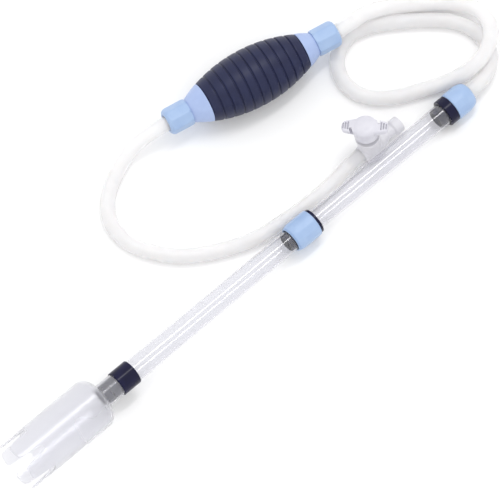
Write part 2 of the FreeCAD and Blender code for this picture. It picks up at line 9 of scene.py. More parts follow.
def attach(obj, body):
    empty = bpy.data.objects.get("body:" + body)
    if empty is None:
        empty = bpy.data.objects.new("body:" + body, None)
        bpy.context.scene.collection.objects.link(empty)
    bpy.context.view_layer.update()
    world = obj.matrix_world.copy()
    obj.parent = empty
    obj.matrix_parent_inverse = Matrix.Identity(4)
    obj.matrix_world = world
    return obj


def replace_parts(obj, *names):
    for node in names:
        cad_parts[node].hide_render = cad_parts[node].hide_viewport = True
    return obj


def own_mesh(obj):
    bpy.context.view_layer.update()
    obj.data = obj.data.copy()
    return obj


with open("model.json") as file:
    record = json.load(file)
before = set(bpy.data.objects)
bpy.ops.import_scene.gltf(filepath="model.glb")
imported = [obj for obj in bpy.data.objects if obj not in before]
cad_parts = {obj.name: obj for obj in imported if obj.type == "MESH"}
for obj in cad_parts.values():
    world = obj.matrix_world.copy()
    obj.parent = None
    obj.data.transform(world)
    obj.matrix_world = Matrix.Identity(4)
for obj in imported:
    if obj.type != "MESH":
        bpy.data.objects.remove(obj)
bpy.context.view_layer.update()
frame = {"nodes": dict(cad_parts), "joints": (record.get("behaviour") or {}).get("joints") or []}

# A hand-pumped gravel siphon: a clear wand with a fingered bell, a ribbed squeeze bulb, two lengths of
# soft hose and a butterfly tap. Lengths are millimetres where a piece is drawn, and metres where it is
# placed.


# --- Studio ---------------------------------------------------------------------------------------
# A white table top under one long, narrow softbox and an even white surround.
# A long lens looks down on it from high up on the bell's side, so nothing tapers with distance.

SCENE = bpy.context.scene
CAMERA_TURN = math.radians(-42.2)
CAMERA_HEIGHT = math.radians(68.0)
CAMERA_DISTANCE = 20.0
VIEW_WIDTH = 0.515
LOOKS_AT = Vector((0.0244, -0.0650, 0.0305))

camera = bpy.data.objects.new("camera", bpy.data.cameras.new("camera"))
SCENE.collection.objects.link(camera)
back = Vector((
    math.cos(CAMERA_HEIGHT) * math.sin(CAMERA_TURN),
    -math.cos(CAMERA_HEIGHT) * math.cos(CAMERA_TURN),
    math.sin(CAMERA_HEIGHT),
))
camera.location = LOOKS_AT + CAMERA_DISTANCE * back
camera.rotation_euler = back.to_track_quat("Z", "Y").to_euler()
camera.data.sensor_width = 36.0
camera.data.lens = camera.data.sensor_width * CAMERA_DISTANCE / VIEW_WIDTH
SCENE.camera = camera


def softbox(name, place, long, wide, power):
    """A rectangular area light of that size in metres, turned towards the middle of the table top, with its
    long side along the wand, so that its mirror image is one line from end to end."""
    lamp = bpy.data.lights.new(name, "AREA")
    lamp.shape = "RECTANGLE"
    lamp.size = long
    lamp.size_y = wide
    lamp.energy = power
    box = bpy.data.objects.new(name, lamp)
    box.location = place
    away = Vector(place).normalized()
    along = Vector((0.0, 1.0, 0.0)).cross(away).normalized()
    box.rotation_euler = Matrix((along, away.cross(along), away)).transposed().to_euler()
    SCENE.collection.objects.link(box)


softbox("softbox_over", (0.63, 0.26, 2.42), 1.5, 0.30, 12.5)

world = bpy.data.worlds.new("white_surround")
world.use_nodes = True
world.node_tree.nodes["Background"].inputs["Color"].default_value = (1.0, 1.0, 1.0, 1.0)
world.node_tree.nodes["Background"].inputs["Strength"].default_value = 1.12
SCENE.world = world
SCENE.view_settings.view_transform = "Standard"


def linear(colour):
    """An sRGB hex colour such as "#a0b0c0" as linear red, green, blue and alpha."""
    parts = [int(colour[at:at + 2], 16) / 255 for at in (1, 3, 5)]
    return [part / 12.92 if part <= 0.04045 else ((part + 0.055) / 1.055) ** 2.4 for part in parts] + [1.0]


def set_inputs(material, node, inputs):
    """Gives a node its inputs: each is a plain value or the output of another node."""
    for name, value in inputs.items():
        if isinstance(value, bpy.types.NodeSocket):
            material.node_tree.links.new(value, node.inputs[name])
        else:
            node.inputs[name].default_value = value


def add(material, kind, inputs=None, **settings):
    """Adds a node with its settings and its inputs."""
    node = material.node_tree.nodes.new(kind)
    for name, value in settings.items():
        setattr(node, name, value)
    set_inputs(material, node, inputs or {})
    return node


def new_material(name):
    """A material with a plain shader and its output node."""
    material = bpy.data.materials.new(name)
    material.use_nodes = True
    material.node_tree.nodes.clear()
    shader = add(material, "ShaderNodeBsdfPrincipled")
    add(material, "ShaderNodeOutputMaterial", {"Surface": shader.outputs[0]})
    return material, shader


# White laminate: even, matt, with nothing to look at.
laminate, laminate_shader = new_material("white_laminate")
set_inputs(laminate, laminate_shader, {"Base Color": linear("#f6f6f6"), "Roughness": 0.9})
TABLE_HALF = 6.0
TABLE_DROP = -0.0003
table_mesh = bpy.data.meshes.new("table_top")
table_mesh.from_pydata(
    [(x, y, TABLE_DROP) for x, y in ((-TABLE_HALF, -TABLE_HALF), (TABLE_HALF, -TABLE_HALF),
                                     (TABLE_HALF, TABLE_HALF), (-TABLE_HALF, TABLE_HALF))],
    [], [(0, 1, 2, 3)],
)
table_mesh.materials.append(laminate)
table_top = bpy.data.objects.new("table_top", table_mesh)
SCENE.collection.objects.link(table_top)


# --- Hoses ----------------------------------------------------------------------------------------
# Two lengths of soft 16 mm hose, extruded in plasticised PVC with a milky tint, pushed over barbs at
# both ends. They lie in loose curves; one loops over itself on its way from the wand to the bulb.

MM = 0.001                 # metres
HOSE_R = 8.0
HOSE_BORE_R = 6.15
WAND_HOSE = [
    (0.291, -0.0825, 0.01591), (0.321, -0.0825, 0.01518), (0.345, -0.079, 0.012), (0.364, -0.063, 0.008),
    (0.370, -0.039, 0.008), (0.361, -0.013, 0.008), (0.340, 0.008, 0.008), (0.316, 0.027, 0.008),
    (0.292, 0.044, 0.008), (0.265, 0.052, 0.008), (0.239, 0.041, 0.008), (0.226, 0.015, 0.008),
    (0.232, -0.013, 0.008), (0.255, -0.033, 0.008), (0.283, -0.046, 0.008), (0.309, -0.058, 0.009),
    (0.334, -0.068, 0.024), (0.361, -0.063, 0.030), (0.382, -0.043, 0.024), (0.385, -0.016, 0.015),
    (0.368, 0.008, 0.009), (0.344, 0.027, 0.008), (0.320, 0.044, 0.014), (0.292, 0.053, 0.026),
    (0.262, 0.053, 0.0314), (0.2325, 0.0593, 0.0314),
]
TAP_HOSE = [
    (0.0764, 0.0927, 0.0314), (0.047, 0.099, 0.0314), (0.017, 0.106, 0.020), (-0.012, 0.099, 0.009),
    (-0.039, 0.085, 0.008), (-0.057, 0.062, 0.008), (-0.059, 0.033, 0.008), (-0.046, 0.006, 0.008),
    (-0.025, -0.019, 0.008), (0.006, -0.038, 0.008), (0.040, -0.053, 0.008), (0.075, -0.058, 0.008),
    (0.110, -0.061, 0.008), (0.142, -0.0615, 0.010), (0.167, -0.0585, 0.0128), (0.1855, -0.0585, 0.0128),
]

# Milky PVC: soft, a little see-through at its thin parts, glossy from the die, with faint draw lines
# along its length. The lines are really finer than a hair and are drawn 1 mm apart so that they show.
milky_pvc, shader = new_material("milky_pvc")
straight = add(milky_pvc, "ShaderNodeAttribute", attribute_name="along_hose").outputs["Vector"]
drawn_out = add(milky_pvc, "ShaderNodeMapping", {
    "Vector": straight, "Scale": (18.0, 1000.0, 1000.0),
}).outputs[0]
draw_lines = add(milky_pvc, "ShaderNodeTexNoise", {
    "Vector": drawn_out, "Scale": 1.0, "Detail": 2.0, "Roughness": 0.5,
}).outputs[0]
clouding = add(milky_pvc, "ShaderNodeTexNoise", {
    "Vector": straight, "Scale": 45.0, "Detail": 3.0,
}).outputs[0]
milk = add(milky_pvc, "ShaderNodeValToRGB", {"Fac": clouding})
milk.color_ramp.elements[0].position = 0.3
milk.color_ramp.elements[0].color = linear("#f7f4f5")
milk.color_ramp.elements[1].position = 0.7
milk.color_ramp.elements[1].color = linear("#fdfbfc")
set_inputs(milky_pvc, shader, {
    "Base Color": milk.outputs[0], "Roughness": 0.45, "IOR": 1.45, "Subsurface Weight": 0.85,
    "Subsurface Radius": (1.0, 0.95, 0.9), "Subsurface Scale": 0.008, "Alpha": 0.50,
    "Normal": add(milky_pvc, "ShaderNodeBump", {
        "Height": draw_lines, "Strength": 0.25, "Distance": 0.0001,
    }).outputs[0],
})


def closed_faces(rows, columns):
    """Four-sided faces of a grid that closes on itself both ways, facing away from its axis."""
    row, column = np.meshgrid(np.arange(rows), np.arange(columns), indexing="ij")
    next_row, next_column = (row + 1) % rows, (column + 1) % columns
    corners = [(row, column), (row, next_column), (next_row, next_column), (next_row, column)]
    return np.stack([r * columns + c for r, c in corners], axis=-1).reshape(-1, 4)


SHARP_EDGE = math.radians(35)


def piece(name, points, faces, material, body="root"):
    """A smooth piece of those points in metres, with its sharp edges kept, that rides on a body."""
    mesh = bpy.data.meshes.new(name)
    mesh.from_pydata(np.asarray(points, float).reshape(-1, 3).tolist(), [], np.asarray(faces).tolist())
    mesh.materials.append(material)
    mesh.shade_smooth()
    mesh.set_sharp_from_angle(angle=SHARP_EDGE)
    made = bpy.data.objects.new(name, mesh)
    SCENE.collection.objects.link(made)
    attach(made, body)
    return made


def centre_line(corners):
    """Points along the smooth spline that the route's corners hold, read off with no thickness."""
    curve = bpy.data.curves.new("route", "CURVE")
    curve.dimensions = "3D"
    curve.resolution_u = 16
    spline = curve.splines.new("NURBS")
    spline.points.add(len(corners) - 1)
    spline.points.foreach_set("co", np.column_stack([corners, np.ones(len(corners))]).ravel())
    spline.order_u = 3
    spline.use_endpoint_u = True
    route = bpy.data.objects.new("route", curve)
    SCENE.collection.objects.link(route)
    line = bpy.data.meshes.new_from_object(route)
    points = np.empty(3 * len(line.vertices))
    line.vertices.foreach_get("co", points)
    bpy.data.objects.remove(route)
    bpy.data.curves.remove(curve)
    bpy.data.meshes.remove(line)
    return points.reshape(-1, 3)


def hose(name, corners):
    """A hollow tube: a circle square to each point of the line, out along the outer wall and back along the
    bore."""
    line = centre_line(corners)
    ahead = np.gradient(line, axis=0)
    ahead /= np.linalg.norm(ahead, axis=1, keepdims=True)
    side = np.cross((0.0, 0.0, 1.0), ahead)
    side /= np.linalg.norm(side, axis=1, keepdims=True)
    top = np.cross(ahead, side)
    travelled = np.concatenate([[0.0], np.cumsum(np.linalg.norm(np.diff(line, axis=0), axis=1))])
    columns = 48
    turn = np.arange(columns) * 2 * np.pi / columns
    order = np.concatenate([np.arange(len(line)), np.arange(len(line))[::-1]])
    radius = MM * np.repeat([HOSE_R, HOSE_BORE_R], len(line))[:, None]
    across, up = radius * np.cos(turn), radius * np.sin(turn)
    points = line[order, None] + across[..., None] * side[order, None] + up[..., None] * top[order, None]
    made = piece(name, points, closed_faces(len(order), columns), milky_pvc)
    laid = np.stack([np.broadcast_to(travelled[order, None], across.shape), across, up], axis=-1)
    made.data.attributes.new("along_hose", "FLOAT_VECTOR", "POINT").data.foreach_set("vector", laid.ravel())
    return made


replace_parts(hose("hose_from_wand", WAND_HOSE), "hose_wand_to_bulb")
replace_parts(hose("hose_to_tap", TAP_HOSE), "hose_bulb_to_tap")


# --- Clear wand tubes -----------------------------------------------------------------------------
# Two tubes moulded in clear polystyrene with a slight draft: the wider one runs from the bell's collar
# into the middle coupling, the slimmer one from there to the adaptor that holds the hose.

JOINTS = {joint["name"]: joint for joint in frame["joints"]}


def unit(vector):
    """The same direction at length 1."""
    return np.asarray(vector, float) / np.linalg.norm(vector)


def placed_on(point, station, ahead):
    """Gives a function that turns (station, across, up) in mm into metres, on an axis with one known point:
    the point plus each of the three times its own direction."""
    ahead = unit(ahead)
    side = unit(np.cross((0.0, 0.0, 1.0), ahead))
    top = np.cross(ahead, side)
    start = np.asarray(point, float) - MM * station * ahead

    def place(along, across, up):
        spread = np.multiply.outer
        return start + MM * (spread(along, ahead) + spread(across, side) + spread(up, top))
    return place


WAND_KNOWN = 390.0         # station of the coupling nut's turning point, from the finger tips
wand_ahead = -np.array(JOINTS["bell_pull"]["axis"])
on_wand = placed_on(JOINTS["coupling_nut_turn"]["pos_m"], WAND_KNOWN, wand_ahead)


def outline(corners, hold=0.2):
    """Closed outline of (station, radius, bend) corners: each is rounded by a quadratic curve that starts
    a bend's length away from it, and held by one more point on the straight run on either side."""
    corners = np.array(corners, float)
    point, bend = corners[:, :2], corners[:, 2]
    before, after = np.roll(point, 1, 0) - point, np.roll(point, -1, 0) - point
    long_before, long_after = np.linalg.norm(before, axis=1), np.linalg.norm(after, axis=1)
    cut = np.minimum(bend, 0.45 * np.minimum(long_before, long_after))[:, None]
    before, after = before / long_before[:, None], after / long_after[:, None]
    share = np.linspace(0, 1, 5)[None, :, None]
    start, end = (point + cut * before)[:, None], (point + cut * after)[:, None]
    curve = (1 - share) ** 2 * start + 2 * share * (1 - share) * point[:, None] + share ** 2 * end
    held = np.minimum(hold, 0.05 * np.minimum(long_before, long_after))[:, None]
    first, last = start[:, 0] + held * before, end[:, 0] + held * after
    return np.concatenate([first[:, None], curve, last[:, None]], axis=1).reshape(-1, 2)


def facing_out(line):
    """The same closed outline, run the way round that makes its faces point outwards: the sign of the area
    that it encloses says which way it runs."""
    line = np.asarray(line, float)
    after = np.roll(line, -1, 0)
    area = np.sum(line[:, 0] * after[:, 1] - after[:, 0] * line[:, 1])
    return line[::-1] if area > 0 else line


def turned(name, line, place, material, body="root", columns=96, shape=None):
    """A turned piece: its closed outline carried round the axis. A shape function may change each station
    and radius by where and at what angle they are."""
    line = facing_out(line)
    turn = np.arange(columns) * 2 * np.pi / columns
    station, angle = np.meshgrid(line[:, 0], turn, indexing="ij")
    radius = np.broadcast_to(line[:, 1:], station.shape)
    if shape:
        station, radius = shape(station, radius, angle)
    points = place(station, radius * np.cos(angle), radius * np.sin(angle))
    return piece(name, points, closed_faces(*station.shape), material, body)


def clear_polystyrene(name, light, dark, haze, roughness):
    """Clear polystyrene: moulded nearly colourless, with the slow waves that a long core leaves in the wall
    and a milky haze. Its walls are thin beside their width and hardly bend what is behind them, so the
    index is low, and a coat gives it the real one's shine. Lamps pass straight through it."""
    material, shader = new_material(name)
    waves = add(material, "ShaderNodeTexNoise", {
        "Vector": add(material, "ShaderNodeTexCoord").outputs["Object"], "Scale": 14.0, "Detail": 1.0,
    }).outputs[0]
    tint = add(material, "ShaderNodeValToRGB", {"Fac": waves})
    tint.color_ramp.elements[0].color = linear(dark)
    tint.color_ramp.elements[1].color = linear(light)
    set_inputs(material, shader, {
        "Base Color": tint.outputs[0], "IOR": 1.10, "Transmission Weight": 1.0 - haze,
        "Roughness": add(material, "ShaderNodeMapRange", {
            "Value": waves, "To Min": roughness - 0.02, "To Max": roughness + 0.02,
        }).outputs[0],
        "Coat Weight": 1.0, "Coat IOR": 1.5, "Coat Roughness": roughness,
        "Normal": add(material, "ShaderNodeBump", {
            "Height": waves, "Strength": 0.05, "Distance": 0.0002,
        }).outputs[0],
    })
    light_path = add(material, "ShaderNodeLightPath")
    passes = add(material, "ShaderNodeMath", {
        0: light_path.outputs["Is Shadow Ray"], 1: light_path.outputs["Is Diffuse Ray"],
    }, operation="MAXIMUM").outputs[0]
    see_through = add(material, "ShaderNodeBsdfTransparent", {"Color": linear("#f8f8f9")}).outputs[0]
    both = add(material, "ShaderNodeMixShader", {
        0: passes, 1: shader.outputs[0], 2: see_through,
    }).outputs[0]
    set_inputs(material, material.node_tree.nodes["Material Output"], {"Surface": both})
    return material


clear_tube = clear_polystyrene("clear_polystyrene_tube", "#f2f2f5", "#eeeef1", 0.03, 0.10)

ROUND = 128                # columns round a smooth turned piece of the wand
TUBE_WALL = 1.45
LOWER_TUBE = (148.0, 12.9, 398.0, 11.5)      # start, its radius, end, its radius
UPPER_TUBE = (402.0, 10.75, 600.0, 12.15)

for name, (start, start_r, end, end_r) in (("lower_tube", LOWER_TUBE), ("upper_tube", UPPER_TUBE)):
    line = outline([
        (start, start_r, 0.4), (end, end_r, 0.4),
        (end, end_r - TUBE_WALL, 0.4), (start, start_r - TUBE_WALL, 0.4),
    ])
    tube = turned(name + "_clear", line, on_wand, clear_tube, columns=ROUND)
    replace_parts(tube, name)


# --- Bell -----------------------------------------------------------------------------------------
# The wide clear end that digs into the gravel: one moulding in the same clear polystyrene, with six
# slots between rounded fingers, a rounded shoulder and a short neck that pushes over the collar's spigot.

# The bell's core is left duller than the tubes' one, so its wall is hazier and its shine wider.
clear_bell = clear_polystyrene("clear_polystyrene_bell", "#f0f0f3", "#ebebef", 0.08, 0.28)

BELL_R = 28.0
BELL_WALL = 1.8
BELL_SHOULDER = 104.0
NECK_R = 12.7
NECK_BORE_R = 10.9
NECK_END = 137.0
FINGERS = 6
SLOT_DEPTH = 28.5
SLOT_TIP_HALF = 5.6
SLOT_ROOT_R = 3.0
FINGER_ROUND = 3.5
FINGER_ROUND_LENGTH = 4.5
SLOT_ROLL = math.radians(90 + 18)
SLOT_REACH = 40.0          # past this station the slots no longer change the wall


def slot_edge(offset):
    """Station of the bell's edge at a sideways offset from a slot's middle: a round root, a straight
    taper, the finger's rounded corner, and then the tip itself."""
    offset = np.abs(offset)
    root = SLOT_DEPTH - SLOT_ROOT_R
    round_root = root + np.sqrt(np.maximum(SLOT_ROOT_R ** 2 - offset ** 2, 0.0))
    side = np.interp(offset, (SLOT_ROOT_R, SLOT_TIP_HALF), (root, FINGER_ROUND_LENGTH))
    share = np.clip((offset - SLOT_TIP_HALF) / FINGER_ROUND, 0.0, 1.0)
    corner = FINGER_ROUND_LENGTH * (1 - np.sqrt(1 - (1 - share) ** 2))
    return np.where(offset <= SLOT_ROOT_R, round_root, np.where(offset <= SLOT_TIP_HALF, side, corner))


def bell_columns():
    """Angles of the bell's columns: close together round each slot's root and corners, wider elsewhere."""
    half_pitch = BELL_R * math.sin(math.pi / FINGERS)
    quarter = np.linspace(0, np.pi / 2, 9)
    offsets = np.concatenate([
        SLOT_ROOT_R * np.sin(quarter),
        np.linspace(SLOT_ROOT_R, SLOT_TIP_HALF, 6)[1:],
        SLOT_TIP_HALF + FINGER_ROUND * (1 - np.cos(quarter))[1:],
        np.linspace(SLOT_TIP_HALF + FINGER_ROUND, half_pitch, 5)[1:],
    ])
    offsets = np.concatenate([-offsets[:0:-1], offsets[:-1]])
    angles = np.add.outer(SLOT_ROLL + np.arange(FINGERS) * 2 * np.pi / FINGERS, np.arcsin(offsets / BELL_R))
    return np.tile(offsets, FINGERS), angles.ravel()


def bell():
    """The wall's closed outline, from the fingers over the shoulder to the neck and back inside, on every
    column. The shoulder is a quarter turn that is drawn out a little. Near the fingers each column is
    squeezed to start at the slot's edge."""
    quarter = np.linspace(0, np.pi / 2, 13)[:, None]
    inner = BELL_R - BELL_WALL
    fall = np.cos(quarter) ** 0.9
    outer_bend = np.hstack([BELL_SHOULDER + 12.0 * np.sin(quarter), NECK_R + (BELL_R - NECK_R) * fall])
    inner_bend = np.hstack([
        BELL_SHOULDER - 1.0 + 11.4 * np.sin(quarter), NECK_BORE_R + (inner - NECK_BORE_R) * fall,
    ])
    rows = np.linspace(1.2, SLOT_REACH, 12)
    wall = np.linspace(SLOT_REACH + 8, BELL_SHOULDER - 6, 6)
    tip = np.linspace(0, np.pi, 7)[1:-1]
    line = np.concatenate([
        np.column_stack([rows, np.full_like(rows, BELL_R)]),
        np.column_stack([wall, np.full_like(wall, BELL_R)]),
        outer_bend,
        [(118.5, NECK_R), (NECK_END - 0.8, NECK_R)],
        [(NECK_END - 0.3, NECK_R - 0.12), (NECK_END, NECK_R - 0.5)],
        [(NECK_END, NECK_BORE_R + 0.5), (NECK_END - 0.3, NECK_BORE_R + 0.12)],
        [(NECK_END - 0.8, NECK_BORE_R), (118.0, NECK_BORE_R)],
        inner_bend[::-1],
        np.column_stack([wall[::-1], np.full_like(wall, inner)]),
        np.column_stack([rows[::-1], np.full_like(rows, inner)]),
        np.column_stack([1.2 - 1.2 * np.sin(tip), inner + BELL_WALL * (1 - np.cos(tip)) / 2]),
    ])
    offset, angle = bell_columns()
    edge = slot_edge(offset)
    station, radius = line[:, :1], line[:, 1:]
    station = np.where(station < SLOT_REACH, edge + station * (SLOT_REACH - edge) / SLOT_REACH, station)
    points = on_wand(station, radius * np.cos(angle), radius * np.sin(angle))
    return piece("bell_clear", points, closed_faces(*station.shape), clear_bell, "bell")


bell_clear = bell()
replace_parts(bell_clear, "bell_head")


# --- Bell collar, strainer and seal ---------------------------------------------------------------
# A glossy black collar joins bell and tube: a grooved spigot fills the bell's neck, a socket takes the
# tube, and a drilled disc at its mouth stops the gravel. A rubber ring in the groove seals the neck.

def moulded(name, light, dark, roughness, blotch_mm=14.0, grain_mm=0.9, relief=0.10, coat=0.0, ior=1.5):
    """Injection-moulded plastic: two close shades in slow blotches where the melt flowed, and a fine
    spark-eroded grain in bump and roughness. The grain is drawn coarser than real so that it shows."""
    material, shader = new_material(name)
    place = add(material, "ShaderNodeTexCoord").outputs["Object"]
    flow, grain = [
        add(material, "ShaderNodeTexNoise", {
            "Vector": place, "Scale": 1 / (size * MM), "Detail": 2.0,
        }).outputs[0]
        for size in (blotch_mm, grain_mm)
    ]
    shade = add(material, "ShaderNodeValToRGB", {"Fac": flow})
    shade.color_ramp.elements[0].position = 0.32
    shade.color_ramp.elements[0].color = linear(dark)
    shade.color_ramp.elements[1].position = 0.68
    shade.color_ramp.elements[1].color = linear(light)
    set_inputs(material, shader, {
        "Base Color": shade.outputs[0],
        "Roughness": add(material, "ShaderNodeMapRange", {
            "Value": grain, "To Min": roughness - 0.05, "To Max": roughness + 0.05,
        }).outputs[0],
        "IOR": ior, "Coat Weight": coat, "Coat Roughness": 0.15,
        "Normal": add(material, "ShaderNodeBump", {
            "Height": grain, "Strength": relief, "Distance": 0.0001,
        }).outputs[0],
    })
    return material


# Black ABS, polished in the mould, so that it mirrors the softbox in one clean streak.
black_abs = moulded("black_abs", "#121234", "#0c0c28", 0.20, relief=0.04, ior=1.30)
# Nitrile sealing rubber: dull black with a dusty bloom.
seal_rubber = moulded("nitrile_rubber", "#26262a", "#1b1b1e", 0.60, blotch_mm=5.0, relief=0.25)

SPIGOT_START = 119.0
SPIGOT_R = 10.85
COLLAR_R = 13.8
COLLAR_END = 159.0
COLLAR_BORE_R = 9.2
GROOVE = 125.4
socket_r = LOWER_TUBE[1] + 0.05
collar = turned("collar_black", outline([
    (SPIGOT_START, SPIGOT_R, 0.4), (GROOVE, SPIGOT_R, 0.15), (GROOVE, SPIGOT_R - 0.95, 0.1),
    (GROOVE + 1.2, SPIGOT_R - 0.95, 0.1), (GROOVE + 1.2, SPIGOT_R, 0.15), (NECK_END + 0.2, SPIGOT_R, 0.2),
    (NECK_END + 0.2, COLLAR_R, 0.6), (COLLAR_END, COLLAR_R, 0.6), (COLLAR_END, socket_r, 0.2),
    (LOWER_TUBE[0] - 0.2, socket_r, 0.2), (LOWER_TUBE[0] - 0.2, COLLAR_BORE_R, 0.3),
    (SPIGOT_START, COLLAR_BORE_R, 0.3),
]), on_wand, black_abs, columns=ROUND)
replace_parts(collar, "bell_collar")


def ring_outline(station, radius, section_r):
    """Round section of a sealing ring."""
    turn = np.linspace(0, 2 * np.pi, 17)[:-1]
    return np.column_stack([station + section_r * np.cos(turn), radius + section_r * np.sin(turn)])


bell_ring = turned("neck_ring", ring_outline(GROOVE + 0.6, SPIGOT_R - 0.48, 0.46), on_wand, seal_rubber)
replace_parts(bell_ring, "bell_seal")


# --- Middle coupling ------------------------------------------------------------------------------
# A black connector joins the two tubes: its spigot fills the lower one, its socket and sealing ring
# take the upper one. A light blue nut screws over it and squeezes a clamp ring onto the lower tube.

THREAD_PITCH = 2.0
THREAD_DEPTH = 0.6


def thread(start, end, crest):
    """Shape function of a screw thread: between its ends the radius rises and falls with a helix's phase,
    as a flat-topped ridge, and fades out over the last turn at both ends."""
    def shape(station, radius, angle):
        phase = (station / THREAD_PITCH - angle / (2 * np.pi)) % 1.0
        ridge = np.clip(2.2 - 6.0 * np.abs(phase - 0.5), 0.0, 1.0)
        fade = np.clip(np.minimum(station - start, end - station) / THREAD_PITCH, 0.0, 1.0)
        cut = (radius > crest - 0.01) & (station > start) & (station < end)
        return station, np.where(cut, crest - THREAD_DEPTH * (1 - ridge * fade), radius)
    return shape


def thread_rows(start, end, crest):
    """Outline corners close enough together to carry a thread."""
    return [(station, crest, 0.01) for station in np.arange(start, end, THREAD_PITCH / 8)]


CONNECTOR_START = 373.0
CONNECTOR_BORE_R = 8.4
RING_START = 409.3
RING_END = 412.5
RING_R = 14.2
COUPLING_THREAD_R = 13.2
LOWER_SPIGOT_R = LOWER_TUBE[3] - TUBE_WALL - 0.1
SLEEVE_R = 11.75
UPPER_SOCKET_R = 10.95
connector = turned("connector_black", outline(
    [(CONNECTOR_START, LOWER_SPIGOT_R, 0.5), (398.2, LOWER_SPIGOT_R, 0.1), (398.2, SLEEVE_R, 0.1)]
    + [(388.0, SLEEVE_R, 0.2), (388.0, COUPLING_THREAD_R, 0.1)]
    + thread_rows(388.4, 406.6, COUPLING_THREAD_R)
    + [(407.0, COUPLING_THREAD_R - THREAD_DEPTH, 0.1), (RING_START, COUPLING_THREAD_R - THREAD_DEPTH, 0.1)]
    + [(RING_START, RING_R, 0.5), (RING_END, RING_R, 0.5), (RING_END, UPPER_SOCKET_R, 0.2)]
    + [(401.8, UPPER_SOCKET_R, 0.1), (401.8, CONNECTOR_BORE_R, 0.2)]
    + [(CONNECTOR_START, CONNECTOR_BORE_R, 0.3)]
), on_wand, black_abs, columns=ROUND, shape=thread(388.2, 406.8, COUPLING_THREAD_R))
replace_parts(connector, "coupling_body")

clamp = turned("clamp_ring", outline([
    (383.0, 11.75, 0.2), (383.0, 12.5, 0.3), (387.7, 13.1, 0.3), (387.7, 11.75, 0.2),
]), on_wand, seal_rubber, "coupling_clamp")
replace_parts(clamp, "coupling_gland")

# Light blue polypropylene with a fine satin grain: soft broad highlights and a slight waxy depth.
blue_pp = moulded("light_blue_polypropylene", "#9cb4d6", "#94add2", 0.38, relief=0.12)


EVEN_POWER = 44            # the higher, the sharper a nut's corners


def faceted(sides, flat_r, first, least_r):
    """Shape function that planes flats onto a nut: past station `first` the outer wall is held inside a
    polygon whose corners are rounded, because a high power mean of the distances to its sides is even."""
    def shape(station, radius, angle):
        facing = np.cos(np.add.outer(np.arange(sides) * 2 * np.pi / sides, -angle))
        inside = flat_r * np.sum(np.maximum(facing, 0.0) ** EVEN_POWER, axis=0) ** (-1 / EVEN_POWER)
        held = np.minimum(radius, inside)
        share = np.clip((station - first) / 3.0, 0.0, 1.0)
        return station, np.where(radius > least_r, radius + share * (held - radius), radius)
    return shape


NUT_ROUND = 240            # columns round a nut, enough for its corners
NUT_R = 15.5
COUPLING_MOUTH = 379.0
MOUTH_R = 13.3
nut_end = RING_START - 0.2
dome = np.linspace(0, np.pi / 2, 10)
coupling_nut = turned("coupling_nut_blue", np.concatenate([
    [(COUPLING_MOUTH, 13.2), (COUPLING_MOUTH + 0.15, 13.6)],
    [(COUPLING_MOUTH + 0.6, 13.8), (COUPLING_MOUTH + 1.1, 13.6)],
    np.column_stack([
        COUPLING_MOUTH + 1.3 + 8.0 * (1 - np.cos(dome)), MOUTH_R + (NUT_R - MOUTH_R) * np.sin(dome),
    ]),
    np.column_stack([np.linspace(389.0, nut_end - 1.4, 9), np.full(9, NUT_R)]),
    outline([(nut_end, NUT_R, 0.9), (nut_end, 13.45, 0.2), (nut_end - 3, 13.45, 0.2)])[:14],
    [(nut_end - 4.0, 13.35), (388.2, 13.35), (387.9, 13.2), (383.1, 12.9), (382.0, 12.2), (379.6, 12.2)],
    [(379.25, 12.25), (379.05, 12.5)],
]), on_wand, blue_pp, "coupling_nut", columns=NUT_ROUND, shape=faceted(12, NUT_R - 0.38, 386.0, 13.9))
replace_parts(coupling_nut, "coupling_nut")


# --- Top adaptor and its nut ----------------------------------------------------------------------
# A black adaptor plugs into the upper tube and carries the hose barb. Its collar shows as a dark band
# under a domed light blue nut, which screws on over the hose.

TOP_COLLAR = 592.0
TOP_COLLAR_END = 602.0
TOP_COLLAR_R = 15.0
TOP_THREAD_R = 12.6
TOP_SPIGOT_R = 10.52
WAND_END = 628.0
BARB_BORE_R = 4.6
BARB_R = 6.1


def barb_corners(tip, root):
    """Outline corners of a hose barb with three rings, from its tip to its root."""
    step = (root - tip) / 4.0
    rings = [(tip, BARB_R - 0.8, 0.3)]
    for ring in range(3):
        crest = tip + (ring + 0.8) * step
        rings += [(crest, BARB_R, 0.15), (crest + 0.2 * step, BARB_R - 0.3, 0.15)]
    return rings + [(root, BARB_R - 0.3, 0.2)]


adaptor = turned("adaptor_black", outline(
    [(582.0, 8.4, 0.3), (582.0, TOP_SPIGOT_R, 0.5), (600.2, TOP_SPIGOT_R, 0.1), (600.2, 12.2, 0.1)]
    + [(TOP_COLLAR, 12.2, 0.2), (TOP_COLLAR, TOP_COLLAR_R, 0.6), (TOP_COLLAR_END, TOP_COLLAR_R, 0.5)]
    + [(TOP_COLLAR_END, TOP_THREAD_R - THREAD_DEPTH, 0.1), (602.6, TOP_THREAD_R, 0.1)]
    + thread_rows(602.8, 612.6, TOP_THREAD_R)
    + [(613.0, TOP_THREAD_R - THREAD_DEPTH, 0.3), (613.0, 9.2, 0.2), (604.5, 9.2, 0.2)]
    + barb_corners(623.0, 604.5)[::-1]
    + [(623.0, BARB_BORE_R, 0.2), (602.0, BARB_BORE_R, 0.2), (598.0, 8.4, 0.2)]
), on_wand, black_abs, columns=ROUND, shape=thread(602.6, 612.8, TOP_THREAD_R))
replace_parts(adaptor, "top_adaptor")

